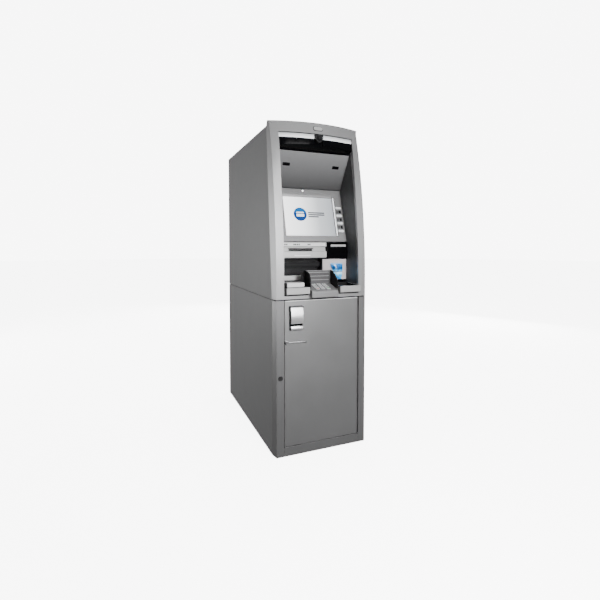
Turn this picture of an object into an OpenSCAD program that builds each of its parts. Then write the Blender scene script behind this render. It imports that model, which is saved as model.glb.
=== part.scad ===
// Lobby cash machine: free-standing cabinet, safe with hinged front door and note
// cassettes, and an upper fascia carried on a rack that slides out of the cabinet.
// Millimetres. +Z up, -Y faces the user, origin on the floor at the middle of the footprint.

/* [Cabinet] */
// Overall width over the side sheets
body_w = 460; // [456:1:470]
// Rear plane, measured back from the front edge of the lower side sheets
body_d = 850; // [840:5:880]
// Height of the roof sheet
roof_z = 1476; // [1472:1:1480]
// Height of the crown of the fascia, at its middle
crown_z = 1500; // [1498:1:1506]
// Height of the joint between lower and upper cabinet
deck_z = 699; // [698.5:0.5:699.5]
// Thickness of the outer sheets
sheet = 3; // [2:0.5:3.5]

/* [Fascia] */
// How far the header bows forward at its middle
bow = 36; // [20:1:40]
// Radius of the fascia's backward sweep, seen from the side
sweep_r = 2730; // [2700:10:2800]
// Half width of the user recess
rec_x = 186; // [186:0.5:186.5]

/* [Door] */
// Thickness of the armoured door plate
plate_t = 12; // [8:1:12]
// Radius of the door's hinge pins
door_pin_r = 5; // [4:0.5:5]
// Running clearance of the pins, per side
run = 0.05; // [0.02:0.01:0.1]

/* [Keys] */
// Width of a keypad key
key_w = 18; // [14:1:19]
// Height of a keypad key
key_h = 12; // [9:1:13]

/* [Hidden] */
$fn = 48;
hw = body_w / 2;
front_y = -65;
yc = (front_y + body_d) / 2;

// side sheet front edge, and fascia front profile at the ridge
function sy(z) = 5 + (z - 700) * 73 / 780;
function fy(z) = -37 + pow(max(z - 770, 0), 2) / (2 * sweep_r);
function s01(t) = let (c = min(max(t, 0), 1)) c * c * (3 - 2 * c);
function bw(x, z) = bow * s01((z - 1150) / 290) * (1 - pow(min(abs(x), 222) / 222, 2));
function fi(x, z) = fy(z) - bw(x, z);

// screen bezel plane and keypad plane
bez_a = atan2(76, 261);
key_a = atan2(21, 70);
key_pitch = 16.5;
fdk_v = [176, 136, 96, 56];

// hinge axis of the lower door, cam lock and handles
dhx = 177; dhy = -27;
lock_x = -204; lock_z = 355;
lev_x = -176; lev_z = 511;
pad_y = -47; pad_z = 662;
bolt_z = [150, 370, 600];
bolt_y = 26;

// ---- helpers ------------------------------------------------------------
module T() { translate([0, -yc, 0]) children(); }
module B(x0, x1, y0, y1, z0, z1) { translate([x0, y0, z0]) cube([x1 - x0, y1 - y0, z1 - z0]); }
// a (Y, Z) outline drawn along X
module YZ(x0, x1, pts) { translate([x0, 0, 0]) rotate([90, 0, 90]) linear_extrude(x1 - x0) polygon(pts); }
// a (X, Y) outline drawn up Z
module XY(z0, z1, pts) { translate([0, 0, z0]) linear_extrude(z1 - z0) polygon(pts); }
// a (X, Z) outline drawn from y0 back to y1
module XZ(y0, y1, pts) { translate([0, y1, 0]) rotate([90, 0, 0]) linear_extrude(y1 - y0) polygon(pts); }
module cylY(x, z, y0, y1, r) { translate([x, y0, z]) rotate([-90, 0, 0]) cylinder(h = y1 - y0, r = r); }
module cylX(x0, x1, y, z, r) { translate([x0, y, z]) rotate([0, 90, 0]) cylinder(h = x1 - x0, r = r); }
module cylZ(x, y, z0, z1, r) { translate([x, y, z0]) cylinder(h = z1 - z0, r = r); }
// rounded rectangle outline, corner radius r, n steps a corner
function rr(x0, x1, y0, y1, r, n = 5) = [
    for (k = [0:n]) [x1 - r + r * cos(90 * k / n), y1 - r + r * sin(90 * k / n)],
    for (k = [0:n]) [x0 + r - r * sin(90 * k / n), y1 - r + r * cos(90 * k / n)],
    for (k = [0:n]) [x0 + r - r * cos(90 * k / n), y0 + r - r * sin(90 * k / n)],
    for (k = [0:n]) [x1 - r + r * sin(90 * k / n), y0 + r - r * cos(90 * k / n)]];
module on_bezel() { translate([0, 78, 955]) rotate([-bez_a, 0, 0]) children(); }
module on_keys() { translate([0, -52, 739]) rotate([key_a, 0, 0]) children(); }

// ---- cabinet --------------------------------------------------------------
module base_plinth() {
    color("dimgray") T() difference() {
        B(-hw + sheet + 0.5, hw - sheet - 0.5, 1, body_d - 4, 0, 14);
        for (x = [-150, 150], y = [120, 720]) cylZ(x, y, -1, 15, 7);
        cylZ(0, 420, -1, 15, 30);
    }
}

module side_sheet(s, pts) {
    if (s > 0) YZ(hw - sheet, hw, pts); else YZ(-hw, -hw + sheet, pts);
}

module lower_side_panels() {
    color("gray") T() for (s = [-1, 1])
        side_sheet(s, [[0.5, 0.5], [body_d, 0.5], [body_d, deck_z - 2.8], [0.5, deck_z - 2.8]]);
}

module upper_shell() {
    color("gray") T() {
        for (s = [-1, 1])
            side_sheet(s, [[sy(deck_z), deck_z - 0.3], [body_d, deck_z - 0.3], [body_d, roof_z], [sy(roof_z), roof_z]]);
        B(-hw + sheet + 0.3, hw - sheet - 0.3, 80, body_d, roof_z - sheet, roof_z - 0.2);
    }
}

module louvres(x0, x1, z0, n, pitch) {
    for (k = [0:n - 1]) B(x0, x1, body_d - 10, body_d + 1, z0 + k * pitch, z0 + k * pitch + 4);
}
module rear_panels() {
    color("gray") T() {
        difference() {
            B(-hw + sheet + 0.3, hw - sheet - 0.3, body_d - sheet, body_d - 0.2, 14.3, deck_z - 4);
            louvres(-120, 120, 520, 6, 14);
        }
        difference() {
            B(-hw + sheet + 0.3, hw - sheet - 0.3, body_d - sheet, body_d - 0.2, deck_z + 0.5, roof_z - sheet - 0.3);
            louvres(-150, -20, 1240, 9, 14);
            louvres(20, 150, 1240, 9, 14);
        }
    }
}

// box-section posts with a bevelled outer edge, and the kick strip between them
module lower_front_frame() {
    color("darkgray") T() {
        difference() {
            XY(0.5, deck_z - 4, [[-hw, -0.2], [-222, -37], [-186.5, -37], [-186.5, -0.2]]);
            cylY(lock_x, lock_z, -40, -15, 9 + run);
        }
        XY(0.5, deck_z - 4, [[188.5, -0.2], [188.5, -37], [222, -37], [hw, -0.2]]);
        YZ(-186, 188, [[-37, 0.5], [-34, 0.5], [-34, 40], [-32.8, 40], [-32.8, 43], [-37, 43]]);
    }
}

module mid_deck() {
    color("dimgray") T() difference() {
        B(-hw + 4, hw - 4, -33, body_d - 4, deck_z - 3.5, deck_z);
        B(-70, 60, 130, 170, deck_z - 5, deck_z + 1);
    }
}

module safe_body() {
    color("slategray") T() difference() {
        union() {
            B(-222, 222, 2, 830, 14.2, 26);
            B(-222, 222, 2, 830, 678, 690);
            B(-222, -210, 2, 830, 26, 678);
            B(210, 222, 2, 830, 26, 678);
            B(-210, 210, 818, 830, 26, 678);
            B(-210, -184, 2, 14, 26, 678);
            B(184, 210, 2, 14, 26, 678);
        }
        B(-70, 60, 130, 170, 670, 700);
    }
}

module door_hinge_pins() {
    color("silver") T() {
        union() {
            B(164, 186, -33, 1.8, 30, 37);
            cylZ(dhx, dhy, 36, 82, door_pin_r);
        }
        cylZ(dhx, dhy, 652, deck_z - 3.7, door_pin_r);
    }
}

module dispenser_frame() {
    color("lightgray") T() {
        for (s = [-1, 1]) B(s * 120 - 2, s * 120 + 2, 190, 639, 30, 600);
        for (z = [38, 178, 318, 458]) B(-117.5, 117.5, 215, 625, z, z + 3);
        B(-117.5, 117.5, 640, 720, 30, 640);
        B(-117.5, 117.5, 190, 639.5, 606, 640);
        B(-66, 56, 132, 168, 606, 676);
    }
}

// angle rails screwed to the cabinet, that carry the sliding rack
module rack_rails() {
    color("silver") T() for (s = [-1, 1])
        XZr(s, 110, 780, [[226.5, 716], [226.5, 760], [223.5, 760], [223.5, 719], [212, 719], [212, 716]]);
}
module XZr(s, y0, y1, pts) { XZ(y0, y1, [for (p = pts) [s * p[0], p[1]]]); }

module cam_lock() {
    color("silver") T() difference() {
        union() {
            cylY(lock_x, lock_z, -41.5, -16, 9);
            cylY(lock_x, lock_z, -41.5, -37.4, 10.5);
        }
        B(lock_x - 1, lock_x + 1, -43, -38, lock_z - 4.5, lock_z + 4.5);
    }
}

// ---- lower door -----------------------------------------------------------
// pan of folded sheet: the hinge corner is rounded about the hinge axis
pan_t = 2; pan_r = 10;
function arc(cx, cy, r, a0, a1, n) = [for (k = [0:n]) [cx + r * cos(a0 + (a1 - a0) * k / n), cy + r * sin(a0 + (a1 - a0) * k / n)]];
module lower_door() {
    color("gray") T() difference() {
        union() {
            XY(45.5, deck_z - 4.8, concat(
                [[-185, -20], [-185, -34]], arc(-182, -34, 3, 180, 270, 4),
                arc(dhx, dhy, pan_r, 270, 360, 10), [[187, -20], [187 - pan_t, -20]],
                arc(dhx, dhy, pan_r - pan_t, 360, 270, 10), [[-183, -35], [-183, -20]]));
            B(-183.5, dhx, -36, -32.6, 45.5, 47.5);
            B(-183.5, dhx, -36, -32.6, deck_z - 6.8, deck_z - 4.8);
        }
        cylY(lev_x, lev_z, -40, -30, 4 + run);
    }
}

module safe_door_plate() {
    color("slategray") T() difference() {
        union() {
            B(-168, 174, -18, -18 + plate_t, 52, 674);
            for (z = [50, 655]) {
                cylZ(dhx, dhy, z, z + 30, 7.8);
                B(160, dhx, -27, -17, z, z + 30);
            }
            for (z = bolt_z) B(-168, -153, -18 + plate_t - 1, 38, z - 15, z + 15);
        }
        for (z = [50, 655]) cylZ(dhx, dhy, z - 1, z + 31, door_pin_r + run);
        for (z = bolt_z) cylX(-170, -150, bolt_y, z, 8 + run);
    }
}

module handle_plate() {
    color("silver") T() union() {
        XZ(-40.5, -37.2, rr(-163.5, -99.5, 562, 672, 5));
        YZ(-158, -105, [[-40, 566], [-49, 566], [-51, 568], [-52, 574], [-49, 582], [-40, 584]]);
        for (x = [-163.5, -102.5]) YZ(x, x + 3, [[-38, 652], [-50, 652], [-51.5, 656], [-51.5, 665], [-48, 669], [-38, 671]]);
        cylX(-162, -101, pad_y, pad_z, 2.5);
    }
}

module paddle_handle() {
    n = 12;
    color("silver") T() difference() {
        union() {
            YZ(-160, -103, concat(
                [for (k = [0:n]) let (t = k / n) [-51.3 - 6.5 * sin(150 * t) , 664 - 70 * t]],
                [for (k = [n:-1:0]) let (t = k / n) [-48 - 5.5 * sin(150 * t), 664 - 70 * t]]));
            cylX(-160, -103, pad_y, pad_z, 4.6);
        }
        cylX(-161, -102, pad_y, pad_z, 2.5 + run);
    }
}

module lever_handle() {
    color("silver") T() union() {
        cylY(lev_x, lev_z, -47, 1.5, 4);
        cylY(lev_x, lev_z, -50, -37.5, 6.5);
        cylX(lev_x, -84, -45, lev_z, 3);
        translate([-84, -45, lev_z]) sphere(r = 3);
        translate([-84, -45, lev_z - 7]) cylinder(h = 7, r = 3);
        B(lev_x - 3, lev_x + 3, -5, 1.5, lev_z - 8, lev_z);
    }
}

module safe_bolts() {
    color("gainsboro") T() union() {
        for (z = bolt_z) cylX(-172, -112, bolt_y, z, 8);
        B(-124, -112, bolt_y - 7, bolt_y + 7, 130, 620);
    }
}

// ---- cassettes ------------------------------------------------------------
module cassette(z0, z1) {
    union() {
        XZ(200, 600, rr(-115, 115, z0, z1, 6, 3));
        YZ(-55, 55, [[201, z1 - 26], [184, z1 - 20], [184, z1 - 12], [188, z1 - 12], [201, z1 - 16]]);
    }
}
module cassette_1() { color("darkslategray") T() cassette(44, 170); }
module cassette_2() { color("darkslategray") T() cassette(184, 310); }
module cassette_3() { color("darkslategray") T() cassette(324, 450); }
module reject_cassette() { color("slategray") T() cassette(464, 554); }

// ---- fascia frame ---------------------------------------------------------
fxs = concat([-hw, -222, -204], [for (k = [-4:4]) rec_x * k / 4], [204, 222, hw]);
fzs = concat([700.5, 715, 770], [for (k = [1:12]) 770 + 56 * k], [1447, 1464, roof_z, 1491, crown_z]);
function yb(x, z) = z <= roof_z ? sy(z) - 1
    : let (t = (z - roof_z) / (crown_z - roof_z)) (sy(roof_z) - 1) * (1 - t) + (fi(min(max(x, -222), 222), crown_z) + 6) * t;
function yf(x, z) = abs(x) > 222.5 ? yb(x, z) - 2 : fi(x, z);
function zt(x, z) = z <= roof_z ? z : z - 2 * pow(x / hw, 2) * (z - roof_z) / (crown_z - roof_z);
nx = len(fxs); nz = len(fzs);
function cell(i, j) = i >= 0 && j >= 0 && i < nx - 1 && j < nz - 1 &&
    !(fxs[i] > -rec_x - 0.1 && fxs[i + 1] < rec_x + 0.1 && fzs[j] > 714.9 && fzs[j + 1] < 1447.1);
function F(i, j) = i * nz + j;
function K(i, j) = nx * nz + i * nz + j;
function two(a, b, c, d) = [[a, b, c], [a, c, d]];
module fascia_frame() {
    pts = concat([for (x = fxs, z = fzs) [x, yf(x, z), zt(x, z)]], [for (x = fxs, z = fzs) [x, yb(x, z), zt(x, z)]]);
    used = [for (i = [0:nx - 2], j = [0:nz - 2]) if (cell(i, j)) [i, j]];
    q = [for (c = used) let (i = c[0], j = c[1]) each concat(
        two(F(i, j), F(i, j + 1), F(i + 1, j + 1), F(i + 1, j)),
        two(K(i, j), K(i + 1, j), K(i + 1, j + 1), K(i, j + 1)),
        cell(i - 1, j) ? [] : two(K(i, j), K(i, j + 1), F(i, j + 1), F(i, j)),
        cell(i + 1, j) ? [] : two(F(i + 1, j), F(i + 1, j + 1), K(i + 1, j + 1), K(i + 1, j)),
        cell(i, j - 1) ? [] : two(F(i, j), F(i + 1, j), K(i + 1, j), K(i, j)),
        cell(i, j + 1) ? [] : two(F(i + 1, j + 1), F(i, j + 1), K(i, j + 1), K(i + 1, j + 1)))];
    color("silver") T() polyhedron(points = pts, faces = q, convexity = 10);
}

// plan outline that follows the header's bow, from depth d behind it to the line y1
function bowed(z, d, y1, w = 185) = concat(
    [for (k = [-10:10]) let (x = w * k / 10) [x, fi(x, z) + d]], [[w, y1], [-w, y1]]);

hood_dy = 154 - 60; hood_dz = 1376 - 1216; hood_l = sqrt(hood_dy * hood_dy + hood_dz * hood_dz);
hood_a = atan2(hood_dz, hood_dy);
module on_hood() { translate([0, 154, 1216]) rotate([180 - hood_a, 0, 0]) children(); }

// bowed light strip, and two lamps set in the sloping hood
module hood_lights() {
    color("white") T() {
        difference() {
            XY(1423, 1443, concat(
                [for (k = [-10:10]) let (x = 185 * k / 10) [x, fi(x, 1428) + 6]],
                [for (k = [10:-1:-10]) let (x = 185 * k / 10) [x, fi(x, 1428) + 18]]));
            B(-21, 21, -40, 60, 1400, 1450);
        }
        for (x = [-128, 128]) on_hood() translate([x - 17, 112, -3]) cube([34, 13, 6]);
    }
}

module valance() {
    color("black") T() difference() {
        XY(1374, 1422.5, bowed(1412, 3, 59));
        YZ(-200, 200, [[-60, 1396], [2, 1396], [62, 1377.5], [62, 1370], [-60, 1370]]);
        B(-21, 21, -60, 20, 1390, 1430);
    }
}

module camera_dome() {
    color("dimgray") T() union() {
        XZ(fi(0, 1425) - 5, fi(0, 1425) + 12, concat([[-19, 1443], [-19, 1430]],
            [for (k = [1:11]) [-19 * cos(15 * k), 1430 - 24 * sin(15 * k)]], [[19, 1430], [19, 1443]]));
        translate([0, fi(0, 1425) - 1, 1426]) sphere(r = 13.5, $fn = 40);
    }
}

module recess_liner() {
    color("darkgray") T() {
        difference() {
            on_hood() translate([-185, 2, 0]) cube([370, hood_l - 5, 4]);
            for (x = [-128, 128]) on_hood() translate([x - 17.5, 111.5, -4]) cube([35, 14, 9]);
        }
        for (s = [-1, 1])
            YZ(s > 0 ? 185.5 : -188.5, s > 0 ? 188.5 : -185.5, [[sy(716), 716], [98, 716], [98, 960], [170, 1216], [84, 1376],
                [84, 1444], [sy(1444), 1444]]);
    }
}

module screen_bezel() {
    color("silver") T() on_bezel() difference() {
        translate([-185, 0, 2]) cube([370, 12, 268]);
        translate([-128, -1, 31]) cube([262, 14, 199]);
        // sloped lead-in above the glass
        YZ(-128, 134, [[-1, 229], [4, 229], [4, 231], [-1, 246]]);
        for (v = fdk_v, s = [-1, 1]) translate([s * 162 - 15.5, -1, v - 6]) cube([31, 14, 12]);
    }
}

module display() {
    color("lightsteelblue") T() on_bezel() union() {
        translate([-127.5, 5, 31.5]) cube([261, 3, 198]);
        translate([-140, 12.5, 20]) cube([286, 30, 222]);
        translate([-120, 7, 40]) cube([246, 6, 180]);
    }
}

// ---- service panels -------------------------------------------------------
module printer_panel() {
    color("silver") T() difference() {
        YZ(-184.5, 73, [[76, 953], [96, 953], [96, 878], [76, 878], [73, 881], [73, 903], [76, 910],
            [86, 911], [86, 931], [75, 933], [75, 951]]);
        B(-119, 4, 70, 100, 911.5, 920);
    }
}
module receipt_printer() {
    color("dimgray") T() union() {
        B(-150, 45, 100, 300, 880, 955);
        cylX(-145, 40, 190, 955, 40);
    }
}

module cash_throat() {
    color("dimgray") T() difference() {
        union() {
            B(-184.5, 54.5, 96.5, 130, 872, 877);
            YZ(-184.5, 54.5, [[78, 772], [130, 772], [130, 800], [92, 796], [78, 797]]);
            B(-184.5, 54.5, 126, 130, 772, 877);
            B(50.5, 54.5, 80, 130, 772, 877);
            B(-184.5, -180.5, 96.5, 130, 772, 877);
            YZ(-184.5, 54.5, [[106, 836], [130, 842], [130, 858], [106, 858]]);
        }
        B(-125, 35, 90, 140, 812, 830);
    }
}
module cash_shutter() { color("darkgray") T() B(-130, 40, 130.5, 133.5, 808, 834); }

module card_reader() {
    color("gainsboro") T() difference() {
        union() {
            B(55, 184.5, 80, 90, 772, 872);
            B(86, 166, 89, 300, 785, 850);
        }
        B(97, 157, 70, 240, 806, 814);
    }
}
module card_bezel() {
    color("deepskyblue") T() {
        YZ(95, 159, [[79.7, 814.5], [62, 814.5], [54, 822], [58, 846], [66, 852], [79.7, 853]]);
        YZ(100, 154, [[79.7, 805.5], [60, 805.5], [52, 800], [62, 780], [79.7, 772.5]]);
        for (x = [95, 157]) B(x, x + 2, 64, 79.7, 805.7, 814.3);
    }
}
module contactless_reader() {
    color("black") T() union() {
        YZ(75, 184, [[100, 953], [72, 953], [68, 948], [66, 905], [70, 875], [100, 874]]);
        B(90, 173, 63.5, 70, 931, 943);
    }
}

// ---- console --------------------------------------------------------------
module console() {
    color("silver") T() union() {
        // left hand block and the raised pocket behind it
        YZ(-180, -71, [[-54, 722], [-57, 725], [-57, 749], [-54, 753], [76, 753], [76, 722]]);
        YZ(-169, -88, [[-30, 752], [-30, 768], [-26, 772], [30, 772], [30, 752]]);
        // right hand tray with a sunk top
        difference() {
            YZ(80, 184.5, [[-55, 722], [-58, 725], [-58, 749], [-55, 752], [76, 758], [76, 722]]);
            B(86, 178.5, -50, 62, 738, 770);
        }
        // floor behind the sill
        B(-180, 184.5, -30, 76, 716, 722.5);
    }
}

module epp_housing() {
    color("lightgray") T() difference() {
        union() {
            YZ(-65, 66, [[-38.5, 704], [-62, 704], [-65, 707], [-65, 730], [-61, 736], [-52, 739], [18, 760], [20, 822], [27, 822], [30, 760], [30, 723.5], [-38.5, 723.5]]);
        }
        for (r = [0:3], c = [-1:1]) on_keys() translate([0.5 + c * 26 - key_w / 2 - 0.5, 12 + r * key_pitch - key_h / 2 - 0.5, -7]) cube([key_w + 1, key_h + 1, 10]);
    }
}

module pin_shield() {
    n = 12;
    color("dimgray") T() for (c = [-1, 1]) union() {
        XZ(17, 23.5, [for (p = concat([[65.5, 757], [65.5, 823]],
            [for (k = [1:n]) let (t = 90 * k / n) [65.5 + 21 * sin(t), 757 + 66 * cos(t)]])) [0.5 + c * p[0], p[1]]]);
        YZ(c < 0 ? -67.8 : 66, c < 0 ? -65 : 68.8, c < 0
            ? [[-52, 744], [-52, 786], [-44, 803], [-28, 815], [-4, 822], [23.5, 823], [23.5, 757], [-20, 744]]
            : [[-54, 744], [-54, 772], [-44, 788], [-26, 804], [-4, 816], [23.5, 823], [23.5, 757], [-20, 744]]);
    }
}

module equipment_tray() {
    color("silver") T() {
        B(-210, 210, 135, 700, 727, 730);
        for (s = [-1, 1]) B(s > 0 ? 212.5 : -222.5, s > 0 ? 222.5 : -212.5, 99, 700, 720, 750);
        for (s = [-1, 1]) B(s > 0 ? 206 : -209, s > 0 ? 209 : -206, 175, 700, 731, 1000);
    }
}
module pc_core() {
    color("gray") T() difference() {
        B(-200, -60, 380, 690, 731, 1100);
        B(-198, -62, 382, 700, 733, 1098);
    }
}

// ---- keys -----------------------------------------------------------------
module key(c, r) {
    color("gainsboro") T() on_keys() translate([0.5 + c * 26, 12 + r * key_pitch, 0]) union() {
        translate([0, 0, -4]) linear_extrude(6.5) polygon(rr(-key_w / 2, key_w / 2, -key_h / 2, key_h / 2, 2, 3));
    }
}
module key_0() key(0, 0);
module key_1() key(-1, 3);
module key_2() key(0, 3);
module key_3() key(1, 3);
module key_4() key(-1, 2);
module key_5() key(0, 2);
module key_6() key(1, 2);
module key_7() key(-1, 1);
module key_8() key(0, 1);
module key_9() key(1, 1);
module key_cancel() key(-1, 0);
module key_enter() key(1, 0);

module fdk(s, k) {
    color("white") T() on_bezel() translate([s * 162, 0, fdk_v[k - 1]])
        translate([0, 8, 0]) rotate([90, 0, 0]) linear_extrude(11) polygon(rr(-15, 15, -5.5, 5.5, 2, 3));
}
module fdk_left_1() fdk(-1, 1);
module fdk_left_2() fdk(-1, 2);
module fdk_left_3() fdk(-1, 3);
module fdk_left_4() fdk(-1, 4);
module fdk_right_1() fdk(1, 1);
module fdk_right_2() fdk(1, 2);
module fdk_right_3() fdk(1, 3);
module fdk_right_4() fdk(1, 4);

base_plinth();
lower_side_panels();
upper_shell();
rear_panels();
lower_front_frame();
mid_deck();
safe_body();
door_hinge_pins();
dispenser_frame();
rack_rails();
cam_lock();
lower_door();
safe_door_plate();
handle_plate();
paddle_handle();
lever_handle();
safe_bolts();
cassette_1();
cassette_2();
cassette_3();
reject_cassette();
fascia_frame();
hood_lights();
valance();
camera_dome();
recess_liner();
screen_bezel();
display();
printer_panel();
receipt_printer();
cash_throat();
cash_shutter();
card_reader();
card_bezel();
contactless_reader();
console();
epp_housing();
pin_shield();
equipment_tray();
pc_core();
key_0();
key_1();
key_2();
key_3();
key_4();
key_5();
key_6();
key_7();
key_8();
key_9();
key_cancel();
key_enter();
fdk_left_1();
fdk_left_2();
fdk_left_3();
fdk_left_4();
fdk_right_1();
fdk_right_2();
fdk_right_3();
fdk_right_4();
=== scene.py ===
import math
import bpy, bmesh
from mathutils import Vector, Matrix, Euler


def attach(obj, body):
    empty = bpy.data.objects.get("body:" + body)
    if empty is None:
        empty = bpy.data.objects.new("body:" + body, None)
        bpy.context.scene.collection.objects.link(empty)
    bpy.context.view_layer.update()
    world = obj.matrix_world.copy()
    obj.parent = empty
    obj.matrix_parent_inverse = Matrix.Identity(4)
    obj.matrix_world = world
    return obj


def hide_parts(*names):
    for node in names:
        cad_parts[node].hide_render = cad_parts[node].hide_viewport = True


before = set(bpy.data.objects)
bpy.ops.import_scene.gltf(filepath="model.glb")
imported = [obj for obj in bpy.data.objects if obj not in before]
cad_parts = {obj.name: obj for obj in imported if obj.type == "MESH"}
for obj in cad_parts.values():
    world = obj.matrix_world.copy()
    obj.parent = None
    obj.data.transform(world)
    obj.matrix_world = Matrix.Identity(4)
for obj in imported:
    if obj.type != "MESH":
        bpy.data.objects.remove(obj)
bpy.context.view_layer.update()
YC = 0.3925
MM = 0.001


def P(x, y, z):
    """A design point in mm (Y from the lower side sheets' front edge) in the row frame, in metres."""
    return Vector((x * MM, y * MM - YC, z * MM))


# ---------------------------------------------------------------- profile functions
def s01(t):
    c = min(max(t, 0.0), 1.0)
    return c * c * (3 - 2 * c)


def sy(z):
    return 5 + (z - 700) * 73 / 780


def fy(z):
    return -37 + max(z - 770, 0) ** 2 / (2 * 2730)


def fi(x, z):
    return fy(z) - 36 * s01((z - 1150) / 290) * (1 - (min(abs(x), 222) / 222) ** 2)


BEZ = math.atan2(76, 261)
KEY = math.atan2(21, 70)
KP = 16.5
HOOD = math.atan2(160, 94)


def on_bezel(x, d, v):
    """x across, d into the cabinet, v up the slope of the screen bezel."""
    c, s = math.cos(BEZ), math.sin(BEZ)
    return P(x, 78 + d * c + v * s, 955 - d * s + v * c)


def on_keys(x, v, w):
    """x across, v up the slope, w out of the keypad plate."""
    c, s = math.cos(KEY), math.sin(KEY)
    return P(x, -52 + v * c - w * s, 739 + v * s + w * c)


# ---------------------------------------------------------------- materials
def new_mat(name):
    m = bpy.data.materials.new(name)
    m.use_nodes = True
    nt = m.node_tree
    b = nt.nodes["Principled BSDF"]
    return m, nt, b


def coords(nt, scale=(1, 1, 1)):
    tc = nt.nodes.new("ShaderNodeTexCoord")
    mp = nt.nodes.new("ShaderNodeMapping")
    mp.inputs["Scale"].default_value = scale
    nt.links.new(tc.outputs["Object"], mp.inputs["Vector"])
    return mp.outputs["Vector"]


def noise(nt, vec, scale, detail=3.0, rough=0.5):
    n = nt.nodes.new("ShaderNodeTexNoise")
    n.inputs["Scale"].default_value = scale
    n.inputs["Detail"].default_value = detail
    n.inputs["Roughness"].default_value = rough
    nt.links.new(vec, n.inputs["Vector"])
    return n.outputs["Fac"]


def ramp(nt, fac, stops):
    r = nt.nodes.new("ShaderNodeValToRGB")
    el = r.color_ramp.elements
    while len(el) < len(stops):
        el.new(0.5)
    for e, (p, c) in zip(el, stops):
        e.position = p
        e.color = (c[0], c[1], c[2], 1)
    nt.links.new(fac, r.inputs["Fac"])
    return r.outputs["Color"]


def mul(col, k):
    return tuple(min(1.0, c * k) for c in col)


def bump(nt, b, height, dist, strength=1.0):
    n = nt.nodes.new("ShaderNodeBump")
    n.inputs["Distance"].default_value = dist
    n.inputs["Strength"].default_value = strength
    nt.links.new(height, n.inputs["Height"])
    nt.links.new(n.outputs["Normal"], b.inputs["Normal"])
    return n


def maprange(nt, fac, lo, hi):
    n = nt.nodes.new("ShaderNodeMapRange")
    n.inputs["To Min"].default_value = lo
    n.inputs["To Max"].default_value = hi
    nt.links.new(fac, n.inputs["Value"])
    return n.outputs["Result"]


def mixcol(nt, fac, a, bb):
    n = nt.nodes.new("ShaderNodeMix")
    n.data_type = "RGBA"
    nt.links.new(fac, n.inputs[0])
    for sock, v in ((n.inputs[6], a), (n.inputs[7], bb)):
        if isinstance(v, tuple):
            sock.default_value = (v[0], v[1], v[2], 1)
        else:
            nt.links.new(v, sock)
    return n.outputs[2]


def paint(name, col, rough=0.42, metal=0.35, flake=0.10, peel=0.00005, cloud=0.05, coat=0.12, spec=0.5):
    """Silver powder coat: fine metallic flake, slow tone drift, orange peel, handling haze."""
    m, nt, b = new_mat(name)
    v = coords(nt)
    f1 = noise(nt, v, 1500, 2, 0.6)
    f2 = noise(nt, v, 2.2, 3, 0.5)
    c1 = ramp(nt, f1, [(0.32, mul(col, 1 - flake)), (0.5, col), (0.68, mul(col, 1 + flake))])
    c2 = ramp(nt, f2, [(0.3, mul(col, 1 - cloud)), (0.7, mul(col, 1 + cloud))])
    half = nt.nodes.new("ShaderNodeMix")
    half.data_type = "RGBA"
    half.inputs[0].default_value = 0.5
    nt.links.new(c1, half.inputs[6])
    nt.links.new(c2, half.inputs[7])
    nt.links.new(half.outputs[2], b.inputs["Base Color"])
    nt.links.new(maprange(nt, noise(nt, v, 9, 4, 0.6), rough - 0.05, rough + 0.07), b.inputs["Roughness"])
    b.inputs["Metallic"].default_value = metal
    b.inputs["Coat Weight"].default_value = coat
    b.inputs["Coat Roughness"].default_value = 0.3
    b.inputs["Specular IOR Level"].default_value = spec
    bump(nt, b, noise(nt, v, 420, 2, 0.5), peel)
    return m


def plastic(name, col, rough=0.5, grain=0.00006, gscale=900, coat=0.0, var=0.08, spec=0.5):
    """Moulded plastic with a fine spark-eroded grain."""
    m, nt, b = new_mat(name)
    v = coords(nt)
    f2 = noise(nt, v, 14, 4, 0.6)
    nt.links.new(ramp(nt, f2, [(0.3, mul(col, 1 - var)), (0.7, mul(col, 1 + var))]), b.inputs["Base Color"])
    nt.links.new(maprange(nt, noise(nt, v, 40, 4, 0.6), max(0.02, rough - 0.05), rough + 0.06), b.inputs["Roughness"])
    b.inputs["Coat Weight"].default_value = coat
    b.inputs["Coat Roughness"].default_value = 0.05
    b.inputs["Specular IOR Level"].default_value = spec
    if grain:
        bump(nt, b, noise(nt, v, gscale, 2, 0.6), grain)
    return m


def brushed(name, col, rough=0.3, axis=0, dist=0.00003, metal=1.0, aniso=0.5):
    """Brushed metal: long scratches along one axis."""
    m, nt, b = new_mat(name)
    sc = [900, 900, 900]
    sc[axis] = 12
    v = coords(nt, tuple(sc))
    n1 = noise(nt, v, 1.0, 3, 0.6)
    nt.links.new(ramp(nt, n1, [(0.25, mul(col, 0.86)), (0.75, mul(col, 1.1))]), b.inputs["Base Color"])
    nt.links.new(maprange(nt, n1, rough - 0.06, rough + 0.1), b.inputs["Roughness"])
    b.inputs["Metallic"].default_value = metal
    b.inputs["Anisotropic"].default_value = aniso
    bump(nt, b, n1, dist, 0.6)
    return m


def glow(name, col, strength, top=None, zlo=0.0, zhi=1.0, rough=0.3):
    """Lit diffuser: emission that varies with height between zlo and zhi (metres)."""
    m, nt, b = new_mat(name)
    tc = nt.nodes.new("ShaderNodeTexCoord")
    sep = nt.nodes.new("ShaderNodeSeparateXYZ")
    nt.links.new(tc.outputs["Object"], sep.inputs[0])
    mr = nt.nodes.new("ShaderNodeMapRange")
    mr.inputs["From Min"].default_value = zlo
    mr.inputs["From Max"].default_value = zhi
    nt.links.new(sep.outputs["Z"], mr.inputs["Value"])
    c = ramp(nt, mr.outputs["Result"], [(0.0, col), (1.0, top or col)])
    nt.links.new(c, b.inputs["Emission Color"])
    nt.links.new(c, b.inputs["Base Color"])
    b.inputs["Emission Strength"].default_value = strength
    b.inputs["Roughness"].default_value = rough
    return m


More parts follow.
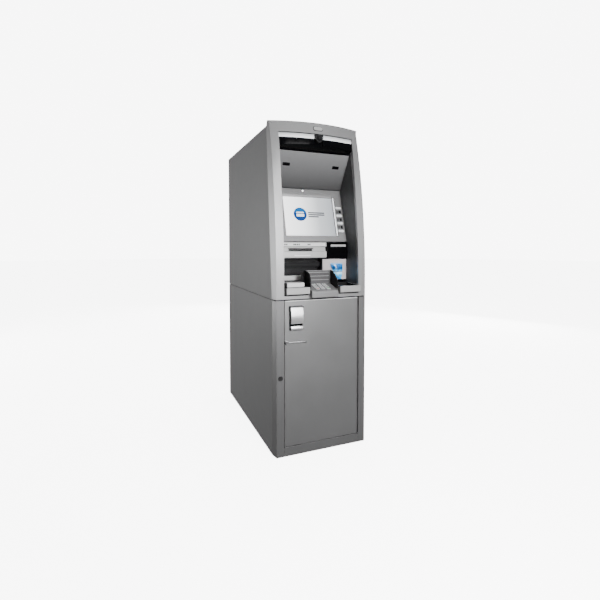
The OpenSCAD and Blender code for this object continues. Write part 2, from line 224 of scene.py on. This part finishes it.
MAT = {
    "silver_paint": paint("silver_paint", (0.27, 0.27, 0.274), rough=0.40, metal=0.7, coat=0.0),
    # painted shade: a darker copy of the door's silver paint for the lower frame's posts and kick strip, which turn
    # away from the light
    "frame_shaded_silver": paint("frame_shaded_silver", (0.20, 0.20, 0.203), rough=0.42, metal=0.6, coat=0.0),
    "lock_dark": brushed("lock_dark", (0.10, 0.10, 0.10), 0.35, 1, metal=0.8),
    "side_paint": paint("side_paint", (0.150, 0.150, 0.153), rough=0.5, metal=0.25, coat=0.05),
    "fascia_silver": paint("fascia_silver", (0.31, 0.31, 0.314), rough=0.42, metal=0.55, coat=0.0),
    "liner": paint("liner", (0.22, 0.22, 0.225), rough=0.5, metal=0.2),
    # painted shade: a near-black copy of the liner paint, for the sheets on the recess's side walls
    "wall_shade_paint": paint("wall_shade_paint", (0.045, 0.045, 0.047), rough=0.5, metal=0.15, coat=0.0),
    "panel_silver": paint("panel_silver", (0.40, 0.40, 0.40), rough=0.4, metal=0.25),
    "panel_light": plastic("panel_light", (0.52, 0.48, 0.48), 0.45, var=0.04),
    "dark_plastic": plastic("dark_plastic", (0.009, 0.009, 0.010), 0.5, spec=0.12),
    "mid_plastic": plastic("mid_plastic", (0.04, 0.04, 0.043), 0.42, spec=0.3),
    "gloss_black": plastic("gloss_black", (0.002, 0.002, 0.0025), 0.10, grain=0, coat=0.0, var=0.02, spec=0.04),
    "throat": plastic("throat", (0.012, 0.012, 0.013), 0.55, spec=0.2),
    "backplate": paint("backplate", (0.07, 0.07, 0.072), rough=0.5, metal=0.4, coat=0.0),
    "shutter_grey": paint("shutter_grey", (0.012, 0.012, 0.013), rough=0.5, metal=0.4, coat=0.0, spec=0.3),
    "bezel_silver": paint("bezel_silver", (0.23, 0.23, 0.234), rough=0.42, metal=0.5, coat=0.0),
    "deck": plastic("deck", (0.012, 0.012, 0.013), 0.7),
    "safe": paint("safe", (0.06, 0.062, 0.066), rough=0.6, metal=0.1, peel=0.00012, coat=0.0),
    "steel": brushed("steel", (0.5, 0.5, 0.51), 0.3, 0),
    "steel_y": brushed("steel_y", (0.5, 0.5, 0.51), 0.3, 1),
    "satin": brushed("satin", (0.80, 0.80, 0.81), 0.30, 2, metal=0.75),
    "zinc": brushed("zinc", (0.45, 0.46, 0.48), 0.42, 1, metal=0.9),
    "key_steel": brushed("key_steel", (0.82, 0.82, 0.83), 0.34, 0, metal=0.6),
    "key_white": plastic("key_white", (0.80, 0.81, 0.82), 0.35, var=0.03),
    "cassette": plastic("cassette", (0.03, 0.032, 0.035), 0.5),
    "print_dark": plastic("print_dark", (0.03, 0.03, 0.032), 0.5, grain=0),
    "print_light": plastic("print_light", (0.75, 0.75, 0.75), 0.5, grain=0, var=0.02),
}


def paint_recess_shade(m, zlo, zhi, dark):
    """Painted shade: the base colour is darkened towards the part's lower, deeper end, standing in for the shade deeper
    in the recess.
    """
    nt = m.node_tree
    b = nt.nodes["Principled BSDF"]
    src = b.inputs["Base Color"].links[0].from_socket
    tc = nt.nodes.new("ShaderNodeTexCoord")
    sep = nt.nodes.new("ShaderNodeSeparateXYZ")
    nt.links.new(tc.outputs["Object"], sep.inputs[0])
    mr = nt.nodes.new("ShaderNodeMapRange")
    mr.inputs["From Min"].default_value = zlo
    mr.inputs["From Max"].default_value = zhi
    mr.inputs["To Min"].default_value = dark
    mr.inputs["To Max"].default_value = 1.0
    nt.links.new(sep.outputs["Z"], mr.inputs["Value"])
    mu = nt.nodes.new("ShaderNodeMix")
    mu.data_type = "RGBA"
    mu.blend_type = "MULTIPLY"
    mu.inputs[0].default_value = 1.0
    nt.links.new(src, mu.inputs[6])
    nt.links.new(mr.outputs["Result"], mu.inputs[7])
    nt.links.new(mu.outputs[2], b.inputs["Base Color"])


# painted shade on the hood liner: darker towards its lower end inside the recess
paint_recess_shade(MAT["liner"], 1.215, 1.375, 0.26)
MAT["strip"] = glow("strip", (0.92, 0.93, 0.94), 0.42, top=(0.30, 0.31, 0.32), zlo=1.423, zhi=1.443)
MAT["led"] = glow("led", (1, 1, 1), 14.0)
# painted highlight: glowing white for the bright glass edge beside the screen
MAT["glass_edge_highlight"] = glow("glass_edge_highlight", (0.92, 0.93, 0.95), 0.6)

NODE_MAT = {
    "base_plinth": "safe", "lower_side_panels": "side_paint", "upper_shell": "side_paint", "rear_panels": "side_paint",
    # lower_front_frame gets the darker copy of the door paint: painted shade
    "lower_front_frame": "frame_shaded_silver", "mid_deck": "deck", "safe_body": "safe", "door_hinge_pins": "steel",
    "dispenser_frame": "zinc", "rack_rails": "zinc", "cam_lock": "lock_dark", "lower_door": "silver_paint",
    # handle_plate gets the dark backplate paint in place of satin metal: painted shade for the dark surround of the
    # handle
    "safe_door_plate": "safe", "handle_plate": "backplate", "paddle_handle": "satin", "lever_handle": "steel",
    "safe_bolts": "steel", "cassette_1": "cassette", "cassette_2": "cassette", "cassette_3": "cassette",
    "reject_cassette": "cassette", "fascia_frame": "fascia_silver", "hood_lights": "strip", "valance": "gloss_black",
    "camera_dome": "dark_plastic", "recess_liner": "liner", "screen_bezel": "bezel_silver", "display": "gloss_black",
    "printer_panel": "panel_silver", "receipt_printer": "dark_plastic", "cash_throat": "throat",
    "cash_shutter": "shutter_grey", "card_reader": "panel_light", "card_bezel": "gloss_black",
    "contactless_reader": "gloss_black", "console": "panel_silver", "epp_housing": "bezel_silver",
    "pin_shield": "dark_plastic", "equipment_tray": "zinc", "pc_core": "zinc"}
BEVEL = {"fascia_frame": 2.5, "lower_front_frame": 2.0, "lower_door": 1.2, "console": 2.0, "valance": 2.0,
         "pin_shield": 1.6, "epp_housing": 1.5, "contactless_reader": 2.0, "printer_panel": 0.8, "handle_plate": 1.0,
         "paddle_handle": 1.0, "screen_bezel": 0.8, "cash_throat": 0.8, "card_reader": 1.0, "camera_dome": 1.2}


def finish_mods(o, width, seg=3, dissolve=True, angle=28):
    for p in o.data.polygons:
        p.use_smooth = True
    if dissolve:
        w = o.modifiers.new("weld", "WELD")
        w.merge_threshold = 0.00001
        d = o.modifiers.new("planar", "DECIMATE")
        d.decimate_type = "DISSOLVE"
        d.angle_limit = math.radians(0.5)
    b = o.modifiers.new("edges", "BEVEL")
    b.width = width * MM
    b.segments = seg
    b.limit_method = "ANGLE"
    b.angle_limit = math.radians(angle)
    b.use_clamp_overlap = True
    b.harden_normals = False
    n = o.modifiers.new("wn", "WEIGHTED_NORMAL")
    n.keep_sharp = False


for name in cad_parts:
    o = bpy.data.objects[name]
    key = NODE_MAT.get(name)
    if key is None:
        key = "key_white" if name.startswith("fdk") else "key_steel"
    o.data.materials.clear()
    o.data.materials.append(MAT[key])
    finish_mods(o, BEVEL.get(name, 0.6), seg=3 if name in BEVEL else 2)


# ---------------------------------------------------------------- mesh helpers
def put(name, verts, faces, mat, body, bevel=0.0, smooth=True, seg=3, wn=True):
    me = bpy.data.meshes.new(name)
    me.from_pydata([tuple(v) for v in verts], [], faces)
    me.validate()
    bm = bmesh.new()
    bm.from_mesh(me)
    bmesh.ops.remove_doubles(bm, verts=bm.verts, dist=1e-6)
    bmesh.ops.recalc_face_normals(bm, faces=bm.faces)
    bm.to_mesh(me)
    bm.free()
    o = bpy.data.objects.new(name, me)
    bpy.context.scene.collection.objects.link(o)
    me.materials.append(MAT[mat] if isinstance(mat, str) else mat)
    for p in me.polygons:
        p.use_smooth = smooth
    if bevel:
        b = o.modifiers.new("edges", "BEVEL")
        b.width = bevel * MM
        b.segments = seg
        b.limit_method = "ANGLE"
        b.angle_limit = math.radians(28)
    if wn:
        o.modifiers.new("wn", "WEIGHTED_NORMAL")
    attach(o, body)
    return o


def prism(name, outline, at, d0, d1, mat, body, bevel=0.5, seg=3):
    """Closed prism: outline points (a, b) placed by at(a, b, depth) for two depths."""
    n = len(outline)
    vs = [at(a, b, d0) for a, b in outline] + [at(a, b, d1) for a, b in outline]
    fs = [list(range(n)), list(range(2 * n - 1, n - 1, -1))]
    fs += [[i, (i + 1) % n, n + (i + 1) % n, n + i] for i in range(n)]
    return put(name, vs, fs, mat, body, bevel, seg=seg)


def rrect(x0, x1, y0, y1, r, n=5):
    pts = []
    for cx, cy, a0 in ((x1 - r, y1 - r, 0), (x0 + r, y1 - r, 90), (x0 + r, y0 + r, 180), (x1 - r, y0 + r, 270)):
        for k in range(n + 1):
            a = math.radians(a0 + 90 * k / n)
            pts.append((cx + r * math.cos(a), cy + r * math.sin(a)))
    return pts


def disc(cx, cy, r, n=40):
    return [(cx + r * math.cos(2 * math.pi * k / n), cy + r * math.sin(2 * math.pi * k / n)) for k in range(n)]


def bez_at(a, b, d):
    return on_bezel(a, d, b)


def front_at(y):
    return lambda a, b, d: P(a, y + d, b)


def key_at(a, b, d):
    return on_keys(a, b, d)


# ---------------------------------------------------------------- screen picture
def screen_material():
    m, nt, b = new_mat("screen_picture")
    tc = nt.nodes.new("ShaderNodeTexCoord")
    sep = nt.nodes.new("ShaderNodeSeparateXYZ")
    nt.links.new(tc.outputs["Object"], sep.inputs[0])
    mr = nt.nodes.new("ShaderNodeMapRange")
    mr.inputs["From Min"].default_value = -0.128
    mr.inputs["From Max"].default_value = 0.134
    nt.links.new(sep.outputs["X"], mr.inputs["Value"])
    c = ramp(nt, mr.outputs["Result"], [(0.0, (0.98, 0.98, 0.98)), (0.35, (0.74, 0.755, 0.765)),
                                        (0.7, (0.34, 0.355, 0.37)), (1.0, (0.24, 0.255, 0.27))])
    nt.links.new(c, b.inputs["Emission Color"])
    b.inputs["Base Color"].default_value = (0.02, 0.02, 0.02, 1)
    b.inputs["Emission Strength"].default_value = 3.2
    b.inputs["Roughness"].default_value = 0.2
    b.inputs["Specular IOR Level"].default_value = 0.12
    return m


def flat_glow(name, col, k=0.8):
    m, nt, b = new_mat(name)
    v = coords(nt)
    c = ramp(nt, noise(nt, v, 60, 3), [(0.3, mul(col, 0.94)), (0.7, mul(col, 1.05))])
    nt.links.new(c, b.inputs["Emission Color"])
    b.inputs["Base Color"].default_value = (0.01, 0.01, 0.01, 1)
    b.inputs["Emission Strength"].default_value = k
    b.inputs["Roughness"].default_value = 0.2
    b.inputs["Specular IOR Level"].default_value = 0.12
    return m


MAT["screen_pic"] = screen_material()
MAT["icon_blue"] = flat_glow("icon_blue", (0.0, 0.085, 0.42), 1.0)
MAT["icon_cyan"] = flat_glow("icon_cyan", (0.0, 0.20, 0.62), 1.1)
MAT["icon_white"] = flat_glow("icon_white", (0.9, 0.93, 0.96), 2.2)
MAT["icon_grey"] = flat_glow("icon_grey", (0.05, 0.06, 0.09), 0.9)

prism("screen_picture", rrect(-126.8, 132.8, 32.2, 228.6, 1.0, 3), bez_at, 4.2, 5.4, "screen_pic", "fascia", 0)
# generic welcome picture: a blue disc with a card outline, and three plain bars
IX, IV = -45, 140
prism("icon_disc", disc(IX, IV, 34, 48), bez_at, 4.0, 4.3, "icon_blue", "fascia", 0)
prism("icon_disc_upper", [(IX + 34 * math.cos(math.radians(a)) * 0.92, IV + 34 * math.sin(math.radians(a)) * 0.92) for a in range(15, 166, 6)],
      bez_at, 3.9, 4.1, "icon_cyan", "fascia", 0)
prism("icon_card", rrect(IX - 20, IX + 20, IV - 12, IV + 12, 4), bez_at, 3.75, 3.95, "icon_white", "fascia", 0)
prism("icon_card_stripe", rrect(IX - 20, IX + 20, IV + 1.5, IV + 6, 0.5, 1), bez_at, 3.6, 3.8, "icon_blue", "fascia", 0)
for k, (x0, x1, v) in enumerate(((-4, 84, 149), (-4, 84, 139), (-4, 52, 129))):
    prism("icon_bar_%d" % k, rrect(x0, x1, v - 2.8, v + 2.8, 2.2, 3), bez_at, 3.9, 4.2, "icon_grey", "fascia", 0)

# status light on the bezel's top bar, and its ring
prism("bezel_light_ring", disc(-21, 260, 6.5, 32), bez_at, -1.0, 0.6, "backplate", "fascia", 0.4)
prism("bezel_light", disc(-21, 260, 2.8, 32), bez_at, -1.6, 0.2, "led", "fascia", 0.3)

# label blocks between the function keys
for s in (-1, 1):
    for k, v in enumerate((156, 116, 76)):
        for j in (0, 1):
            x0 = s * 162 - 14 + j * 15
            prism("fdk_label_%s_%d_%d" % ("l" if s < 0 else "r", k, j), rrect(x0, x0 + 12.5, v - 7, v + 8, 1.5, 3), bez_at,
                  -1.0, 0.6, "dark_plastic" if j else "backplate", "fascia", 0.4)

# ---------------------------------------------------------------- keypad legends
def legend(name, txt, x, v, size, body, mat="print_dark"):
    cu = bpy.data.curves.new(name, "FONT")
    cu.body = txt
    cu.size = size * MM
    cu.align_x = "CENTER"
    cu.align_y = "CENTER"
    cu.extrude = 0.00008
    o = bpy.data.objects.new(name, cu)
    bpy.context.scene.collection.objects.link(o)
    bpy.context.view_layer.update()
    dg = bpy.context.evaluated_depsgraph_get()
    me = bpy.data.meshes.new_from_object(o.evaluated_get(dg))
    bpy.data.objects.remove(o)
    R = Matrix.Rotation(KEY, 4, "X")
    for vv in me.vertices:
        vv.co = R @ vv.co + on_keys(x, v, 2.58)
    p = bpy.data.objects.new(name, me)
    bpy.context.scene.collection.objects.link(p)
    me.materials.clear()
    me.materials.append(MAT[mat])
    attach(p, body)
    return p


LAY = {"1": (-1, 3), "2": (0, 3), "3": (1, 3), "4": (-1, 2), "5": (0, 2), "6": (1, 2), "7": (-1, 1), "8": (0, 1), "9": (1, 1), "0": (0, 0)}
for d, (c, r) in LAY.items():
    legend("legend_" + d, d, 0.5 + c * 26, 12 + r * KP, 9, "key_%s_cap" % d)
for nm, c, colr in (("key_cancel", -1, (0.45, 0.02, 0.02)), ("key_enter", 1, (0.02, 0.30, 0.06))):
    MAT[nm] = plastic("mark_" + nm, colr, 0.4, grain=0)
    prism(nm + "_mark", rrect(0.5 + c * 26 - 6, 0.5 + c * 26 + 6, 10, 14, 1.2, 3), key_at, 2.3, 2.66, nm, nm + "_cap", 0)

# ---------------------------------------------------------------- lit card bezel (replaces the plain block)
def card_bezel():
    m, nt, b = new_mat("card_glow")
    tc = nt.nodes.new("ShaderNodeTexCoord")
    sep = nt.nodes.new("ShaderNodeSeparateXYZ")
    nt.links.new(tc.outputs["Object"], sep.inputs[0])
    mr = nt.nodes.new("ShaderNodeMapRange")
    mr.inputs["From Min"].default_value = 0.772
    mr.inputs["From Max"].default_value = 0.853
    nt.links.new(sep.outputs["Z"], mr.inputs["Value"])
    add = nt.nodes.new("ShaderNodeMath")
    add.operation = "ADD"
    nt.links.new(mr.outputs["Result"], add.inputs[0])
    nz = nt.nodes.new("ShaderNodeMath")
    nz.operation = "MULTIPLY_ADD"
    nt.links.new(noise(nt, coords(nt), 70, 3), nz.inputs[0])
    nz.inputs[1].default_value = 0.35
    nz.inputs[2].default_value = -0.17
    nt.links.new(nz.outputs[0], add.inputs[1])
    c = ramp(nt, add.outputs[0], [(0.0, (0.01, 0.22, 0.60)), (0.22, (0.04, 0.42, 0.85)), (0.42, (0.45, 0.82, 1.0)),
                                  (0.55, (0.05, 0.34, 0.70)), (0.70, (0.002, 0.03, 0.14)), (0.85, (0.01, 0.14, 0.42)), (1.0, (0.20, 0.42, 0.66))])
    nt.links.new(c, b.inputs["Emission Color"])
    nt.links.new(c, b.inputs["Base Color"])
    b.inputs["Emission Strength"].default_value = 0.75
    b.inputs["Roughness"].default_value = 0.12
    b.inputs["Coat Weight"].default_value = 0.5
    MAT["card_glow"] = m
    # upper hood of the funnel and its tapering lower lip, each a lofted closed form
    def loft(name, rows, mat):
        # rows: (z, x0, x1, depth) with front at y=80-depth
        vs, fs = [], []
        n = 9
        for z, x0, x1, dep in rows:
            for k in range(n):
                t = k / (n - 1)
                x = x0 + (x1 - x0) * t
                y = 79.6 - dep * (1 - abs(2 * t - 1) ** 4 * 0.55)
                vs.append(P(x, y, z))
            for k in range(n - 1, -1, -1):
                t = k / (n - 1)
                vs.append(P(x0 + (x1 - x0) * t, 79.7, z))
        w = 2 * n
        for r in range(len(rows) - 1):
            for k in range(w):
                a, b2 = r * w + k, r * w + (k + 1) % w
                fs.append([a, b2, b2 + w, a + w])
        fs.append(list(range(w)))
        fs.append(list(range((len(rows) - 1) * w, len(rows) * w))[::-1])
        return put(name, vs, fs, mat, "fascia", 0.8, seg=2)
    up = loft("card_bezel_upper", [(811.7, 112, 157.6, 20), (818, 107, 158.2, 24), (832, 100, 158.4, 25), (845, 96.2, 158.4, 21), (852.6, 97.0, 157.5, 13)], "card_glow")
    lo = loft("card_bezel_lower", [(773, 137, 154, 8), (784, 130, 155.5, 15), (796, 122, 156.8, 21), (808.3, 113.5, 157.4, 20)], "card_glow")
    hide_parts("card_bezel")
    return up, lo


card_bezel()

# ---------------------------------------------------------------- fascia details
# generic smooth boss on the header above the camera
BZ = 1472
prism("header_boss", [(x, z) for x, z in rrect(-22, 22, BZ - 9, BZ + 8, 8, 6)], lambda a, b, d: P(a, fi(a, b) + d, b), -5.0, 3.0, "panel_silver", "fascia", 2.4)
prism("header_boss_ring", rrect(-25, 25, BZ - 12, BZ + 11, 10, 6), lambda a, b, d: P(a, fi(a, b) + d, b), -1.2, 3.0, "backplate", "fascia", 0.8)
# receipt outlet lip and moulded pictogram (a slip of paper)
prism("receipt_pictogram", rrect(-94, -12, 888, 894, 2, 3), front_at(72.4), 0, 1.0, "print_light", "fascia", 0.3)
prism("receipt_guide", rrect(-122, 7, 921, 925, 1.5, 3), front_at(82), 0, 4.5, "dark_plastic", "fascia", 0.5)
prism("label_strip", rrect(-180, 66, 934.5, 949.5, 1.5, 3), front_at(74.4), 0, 1.0, "print_light", "fascia", 0.3)
for k, x in enumerate((-150, -141, -132, -96, -88, -79, -70, -24, -15)):
    prism("label_mark_%d" % k, rrect(x - 3, x + 3, 939, 945.5, 0.8, 2), front_at(73.9), 0, 0.6, "mid_plastic", "fascia", 0)
prism("reader_strip", rrect(90.5, 172.5, 931.8, 942.2, 1.5, 3), front_at(62.9), 0, 1.2, "panel_silver", "fascia", 0.4)

# ---------------------------------------------------------------- more fascia pieces
def hood_at(a, b, d):
    """a across, b up the sloping hood from its rear edge, d out of it towards the user."""
    c, s = math.cos(HOOD), math.sin(HOOD)
    return P(a, 154 - b * c - d * s, 1216 + b * s - d * c)


for s in (-1, 1):
    tag = "l" if s < 0 else "r"
    prism("lamp_lens_" + tag, rrect(s * 128 - 17.6, s * 128 + 17.6, 111, 125.8, 2, 4), hood_at, 2.2, 4.4, "gloss_black", "fascia", 0.6)
    # painted shade: flat dark sheets over the recess's inner side walls, standing for the shade that falls there
    prism("side_wall_shade_" + tag, [(fy(756) + 15, 756), (79, 756), (79, 954), (153, 1216), (62, 1372), (62, 1390), (fy(1390) + 16, 1390), (fy(1216) + 16, 1216), (fy(1080) + 16, 1080), (fy(954) + 15, 954)],
          (lambda a, b, d, s=s: P(s * (185.4 - d), a, b)), 0.0, 0.5, "wall_shade_paint", "fascia", 0)
# ledge under the cash throat, with a dark step below
prism("cash_ledge", [(77.8, 772.6), (75.5, 774.5), (75.5, 794), (78, 796.6), (90, 797.4), (90, 772.6)],
      lambda a, b, d: P(-184 + d, a, b), 0, 237.5, "panel_silver", "fascia", 0.8)
prism("throat_rib", [(104.8, 836.5), (105.9, 836.5), (105.9, 857.5), (104.8, 857.5)], lambda a, b, d: P(-184 + d, a, b), 0, 236, "dark_plastic", "fascia", 0.2)
# dark surrounds of the console blocks
prism("left_well", [(-53, 753.1), (74, 753.1), (74, 754.0), (-53, 754.0)], lambda a, b, d: P(-179.5 + d, a, b), 0, 108, "dark_plastic", "fascia", 0.2)
prism("left_block_cap", rrect(-168.5, -88.5, 753.6, 771.4, 1.5, 3), front_at(-31.2), 0, 1.1, "print_light", "fascia", 0.4)
prism("tray_mat", [(-48, 738.2), (60, 738.2), (60, 739.4), (-48, 739.4)], lambda a, b, d: P(87 + d, a, b), 0, 90.5, "dark_plastic", "fascia", 0.2)
prism("tray_back", [(60.9, 739), (61.8, 739), (61.8, 757.6), (76, 758.3), (76, 759.0), (60.9, 758.4)], lambda a, b, d: P(80.5 + d, a, b), 0, 103, "dark_plastic", "fascia", 0.2)
prism("tray_side", [(-50, 739), (61, 739), (61, 757.4), (-50, 752.6)], lambda a, b, d: P(86.1 + d, a, b), 0, 0.6, "dark_plastic", "fascia", 0.1)
prism("tray_side_r", [(-50, 739), (61, 739), (61, 757.4), (-50, 752.6)], lambda a, b, d: P(177.8 + d, a, b), 0, 0.6, "dark_plastic", "fascia", 0.1)
prism("tray_rim", [(-50, 752.4), (-50, 753.4), (75, 759.2), (75, 758.2)], lambda a, b, d: P(80.5 + d, a, b), 0, 5.0, "dark_plastic", "fascia", 0.2)
# painted shadow: flat black strips for the shade in the gaps under the console blocks
for nm, x0, x1 in (("under_block_shadow_left", -179.5, -69), ("under_block_shadow_right", 67.5, 184)):
    prism(nm, [(-34, 715.6), (-30.6, 715.6), (-30.6, 722), (-34, 722)], lambda a, b, d, x0=x0: P(x0 + d, a, b), 0, x1 - x0, "gloss_black", "fascia", 0)
# painted shadow: a flat black strip for the shade between the left post and the left block
prism("left_post_shadow_strip", [(x, z) for x, z in ((-184.8, 716), (-180.5, 716), (-180.5, 771), (-184.8, 771))], front_at(-30), 0, 90, "gloss_black", "fascia", 0)
prism("backplate_skin", rrect(-63.5, 64.5, 761, 820, 1.5, 3), lambda a, b, d: P(a, 18 + (b - 760) * 2 / 62 - 0.35 + d, b), 0, 0.5, "backplate", "fascia", 0.1)
# grooves on the keypad's back plate
for k in range(6):
    z = 770 + k * 8.5
    y = 18 + (z - 760) * 2 / 62
    prism("backplate_rib_%d" % k, rrect(-58, 58, z - 1.6, z + 1.6, 1.4, 3), (lambda a, b, d, y=y: P(a, y - 1.1 + d, b)), 0, 1.2, "bezel_silver" if k % 2 else "backplate", "fascia", 0.3)
# bright lip along the top of the keypad's front
prism("keypad_lip", [(-65.0, 708), (-64.9, 729), (-61, 735.4), (-60.2, 735), (-63.8, 728.6), (-64, 708)], lambda a, b, d: P(-64 + d, a, b), 0, 129, "panel_silver", "fascia", 0.2)
# clear strip beside the screen, over the glass edge; its glow is a painted highlight of the edge, not a lamp
prism("screen_side_strip", rrect(136.0, 142.5, 32, 229, 1.5, 3), bez_at, -0.9, 0.6, "glass_edge_highlight", "fascia", 0.5)
prism("screen_side_groove", rrect(144.5, 146.5, 32, 229, 0.8, 3), bez_at, -0.3, 0.6, "dark_plastic", "fascia", 0.1)
# painted highlight: a light strip along the door's top edge standing for the light its rounded top catches; and the
# handle's lower grip
prism("door_top_highlight_strip", [(-181, 691.6), (-181, 694.9), (179, 694.9), (179, 691.6)], front_at(-37.55), 0, 0.7, "print_light", "door", 0.1)
prism("handle_grip", [(-48.5, 565.6), (-51.3, 567.6), (-52.5, 574), (-49.3, 582.3), (-48.8, 581.6), (-51.8, 574), (-50.8, 568.1), (-48.5, 566.2)],
      lambda a, b, d: P(-157.7 + d, a, b), 0, 52.4, "satin", "door", 0)
# screw heads that hold the rear covers, each with a flat dark bar as painted shade for its slot
for i, sx in enumerate((-213, 213)):
    for j, sz in enumerate((34, 190, 350, 510, 676, 718, 900, 1090, 1280, 1452)):
        prism("cover_screw_%d_%d" % (i, j), disc(sx, sz, 5.0, 20), front_at(849.2), 0, 1.3, "steel", "cabinet", 0.4)
        prism("cover_screw_slot_%d_%d" % (i, j), rrect(sx - 3, sx + 3, sz - 0.7, sz + 0.7, 0.4, 2), front_at(850.2), 0, 0.42, "dark_plastic", "cabinet", 0)
# painted shade: a flat black plate standing for the dark finger slot of the door handle
prism("handle_slot_shade", rrect(-159.5, -103.5, 583, 600, 2, 3), front_at(-41.2), 0, 0.9, "gloss_black", "door", 0.1)

# ---------------------------------------------------------------- floor, lights, camera
def backdrop():
    me = bpy.data.meshes.new("floor")
    bm = bmesh.new()
    bmesh.ops.create_circle(bm, cap_ends=True, segments=96, radius=30)
    bm.to_mesh(me)
    bm.free()
    o = bpy.data.objects.new("floor", me)
    bpy.context.scene.collection.objects.link(o)
    m, nt, b = new_mat("floor_pale")
    v = coords(nt)
    nt.links.new(ramp(nt, noise(nt, v, 1.5, 3), [(0.3, (0.90, 0.90, 0.90)), (0.7, (0.92, 0.92, 0.92))]), b.inputs["Base Color"])
    b.inputs["Roughness"].default_value = 0.9
    b.inputs["Specular IOR Level"].default_value = 0.1
    b.inputs["Emission Color"].default_value = (1, 1, 1, 1)
    b.inputs["Emission Strength"].default_value = 7.0
    me.materials.append(m)
    o.visible_diffuse = False
    o.visible_glossy = False


backdrop()


def area(name, loc, target, size, power, sx=None):
    li = bpy.data.lights.new(name, "AREA")
    li.energy = power
    li.shape = "RECTANGLE"
    li.size = size
    li.size_y = sx or size
    o = bpy.data.objects.new(name, li)
    bpy.context.scene.collection.objects.link(o)
    o.location = loc
    o.rotation_euler = (Vector(target) - Vector(loc)).to_track_quat("-Z", "Y").to_euler()
    return o


area("key_light", (0.06, -2.10, 1.45), (-0.05, -0.4, 0.95), 0.7, 42)
area("side_light", (-3.2, 2.2, 0.9), (-0.2, 0.3, 0.6), 1.6, 80)
area("door_sheen", (0.18, -2.5, 0.85), (-0.1, -0.42, 0.6), 0.5, 20)
area("back_light", (0.9, 4.2, 1.7), (0, 0.4, 0.8), 2.0, 120)
area("right_light", (3.4, 1.9, 1.2), (0.2, 0.2, 0.7), 1.8, 95)
area("top_light", (0, -0.2, 4.5), (0, -0.2, 0), 3.0, 60)

w = bpy.data.worlds.new("studio")
bpy.context.scene.world = w
w.use_nodes = True
wn = w.node_tree
bg = wn.nodes["Background"]
bg.inputs["Strength"].default_value = 1.0
wtc = wn.nodes.new("ShaderNodeTexCoord")
wsep = wn.nodes.new("ShaderNodeSeparateXYZ")
wn.links.new(wtc.outputs["Generated"], wsep.inputs[0])
wmr = wn.nodes.new("ShaderNodeMapRange")
wmr.inputs["From Min"].default_value = -0.6
wmr.inputs["From Max"].default_value = 0.8
wn.links.new(wsep.outputs["Z"], wmr.inputs["Value"])
wn.links.new(ramp(wn, wmr.outputs["Result"], [(0.0, (0.16, 0.16, 0.16)), (0.45, (0.26, 0.26, 0.262)), (1.0, (0.42, 0.42, 0.42))]), bg.inputs["Color"])
bgc = wn.nodes.new("ShaderNodeBackground")
bgc.inputs["Color"].default_value = (1, 1, 1, 1)
bgc.inputs["Strength"].default_value = 8.0
lp = wn.nodes.new("ShaderNodeLightPath")
mx = wn.nodes.new("ShaderNodeMixShader")
wn.links.new(lp.outputs["Is Camera Ray"], mx.inputs[0])
wn.links.new(bg.outputs[0], mx.inputs[1])
wn.links.new(bgc.outputs[0], mx.inputs[2])
wn.links.new(mx.outputs[0], wn.nodes["World Output"].inputs["Surface"])

cam = bpy.data.cameras.new("camera")
cam.sensor_width = 36
cam.lens = 24.385
cam.shift_x = 0.0
cam.shift_y = -0.0624
cam.clip_start = 0.05
co = bpy.data.objects.new("camera", cam)
bpy.context.scene.collection.objects.link(co)
co.location = (-0.797, -1.694 - YC, 0.933)
co.rotation_euler = (math.radians(90 - 2.27), 0, math.radians(-22.47))
bpy.context.scene.camera = co
